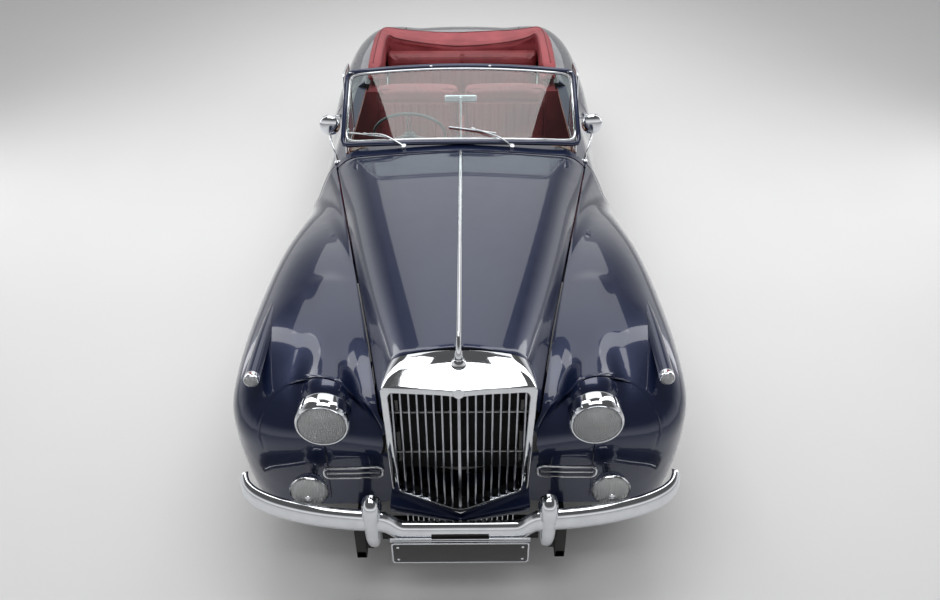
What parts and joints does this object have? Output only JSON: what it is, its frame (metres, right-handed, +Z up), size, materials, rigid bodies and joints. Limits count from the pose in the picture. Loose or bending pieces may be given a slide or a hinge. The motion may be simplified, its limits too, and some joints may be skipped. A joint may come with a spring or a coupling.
{
  "type": "1950s two door open tourer car",
  "caption": "Luxury two-door open car of the middle 1950s with a tall upright radiator shell, flowing wings and its hood folded down.",
  "frame": {"origin": "on the ground under the middle of the car's length and width", "axes": "+Z up, the car's front faces -Y, +X is the car's left side"},
  "size_m": [1.8658, 5.3868, 1.4551],
  "materials": {
    "paint": "gloss",
    "chrome": "polished",
    "black_metal": "satin",
    "iron": "rough",
    "steel": "satin",
    "tyre": "matte",
    "glass": "clear",
    "leather": "satin",
    "hood_cloth": "matte",
    "wood": "gloss",
    "dark_plastic": "gloss"
  },
  "bodies": {
    "car_body": {"chassis_frame": "black_metal", "floor_pan": "black_metal", "engine_block": "iron", "exhaust_system": "black_metal", "fuel_tank": "black_metal", "front_suspension": "iron", "rear_axle": "iron", "front_wing_left": "paint", "front_wing_right": "paint", "front_apron": "paint", "radiator_shell": "chrome", "radiator_slats": "chrome", "bonnet_strip": "chrome", "scuttle": "paint", "windscreen_frame": "paint", "windscreen_glass": "glass", "dashboard": "wood", "front_seats": "leather", "rear_seat": "leather", "hood_stack": "hood_cloth", "rear_body": "paint", "front_bumper": "chrome", "rear_bumper": "chrome", "front_lamps": "chrome", "tail_lamps": "chrome", "wipers": "chrome", "number_plates": "black_metal"},
    "bonnet_left_half": {"bonnet_left": "paint"},
    "bonnet_right_half": {"bonnet_right": "paint"},
    "left_door": {"door_left": "paint", "quarter_light_left": "chrome"},
    "right_door": {"door_right": "paint", "quarter_light_right": "chrome"},
    "boot": {"boot_lid": "paint"},
    "steering": {"steering_wheel": "dark_plastic"},
    "left_knuckle": {"knuckle_left": "iron"},
    "right_knuckle": {"knuckle_right": "iron"},
    "front_left_wheel": {"tyre_front_left": "tyre", "wheel_front_left": "paint"},
    "front_right_wheel": {"tyre_front_right": "tyre", "wheel_front_right": "paint"},
    "rear_left_wheel": {"tyre_rear_left": "tyre", "wheel_rear_left": "paint"},
    "rear_right_wheel": {"tyre_rear_right": "tyre", "wheel_rear_right": "paint"}
  },
  "joints": [
    {"name": "bonnet_left_hinge", "type": "hinge", "parent": "car_body", "child": "bonnet_left_half", "pos_m": [0.01, -1.5, 1.116], "axis": [0, -1, 0], "range_deg": [0, 60]},
    {"name": "bonnet_right_hinge", "type": "hinge", "parent": "car_body", "child": "bonnet_right_half", "pos_m": [-0.01, -1.5, 1.116], "axis": [0, 1, 0], "range_deg": [0, 60]},
    {"name": "door_left_hinge", "type": "hinge", "parent": "car_body", "child": "left_door", "pos_m": [0.903, -0.612, 0.6], "axis": [0, 0, -1], "range_deg": [0, 65]},
    {"name": "door_right_hinge", "type": "hinge", "parent": "car_body", "child": "right_door", "pos_m": [-0.903, -0.612, 0.6], "axis": [0, 0, 1], "range_deg": [0, 65]},
    {"name": "boot_lid_hinge", "type": "hinge", "parent": "car_body", "child": "boot", "pos_m": [0, 1.747, 0.978], "axis": [1, 0, 0], "range_deg": [0, 60]},
    {"name": "steering_wheel_turn", "type": "hinge", "parent": "car_body", "child": "steering", "pos_m": [-0.3, -0.262, 1.005], "axis": [0, 0.848, 0.5299], "range_deg": [-560, 560]},
    {"name": "steer_left", "type": "hinge", "parent": "car_body", "child": "left_knuckle", "pos_m": [0.6545, -1.82, 0.352], "axis": [0, 0, 1], "range_deg": [-28, 28]},
    {"name": "steer_right", "type": "hinge", "parent": "car_body", "child": "right_knuckle", "pos_m": [-0.6545, -1.82, 0.352], "axis": [0, 0, 1], "range_deg": [-28, 28]},
    {"name": "front_left_spin", "type": "hinge", "parent": "left_knuckle", "child": "front_left_wheel", "pos_m": [0.7365, -1.82, 0.352], "axis": [1, 0, 0], "continuous": true},
    {"name": "front_right_spin", "type": "hinge", "parent": "right_knuckle", "child": "front_right_wheel", "pos_m": [-0.7365, -1.82, 0.352], "axis": [1, 0, 0], "continuous": true},
    {"name": "rear_left_spin", "type": "hinge", "parent": "car_body", "child": "rear_left_wheel", "pos_m": [0.762, 1.304, 0.352], "axis": [1, 0, 0], "continuous": true},
    {"name": "rear_right_spin", "type": "hinge", "parent": "car_body", "child": "rear_right_wheel", "pos_m": [-0.762, 1.304, 0.352], "axis": [1, 0, 0], "continuous": true}
  ],
  "couplings": [
    {"joint": "steer_right", "follows": "steer_left", "ratio": 1},
    {"joint": "steering_wheel_turn", "follows": "steer_left", "ratio": 20}
  ]
}
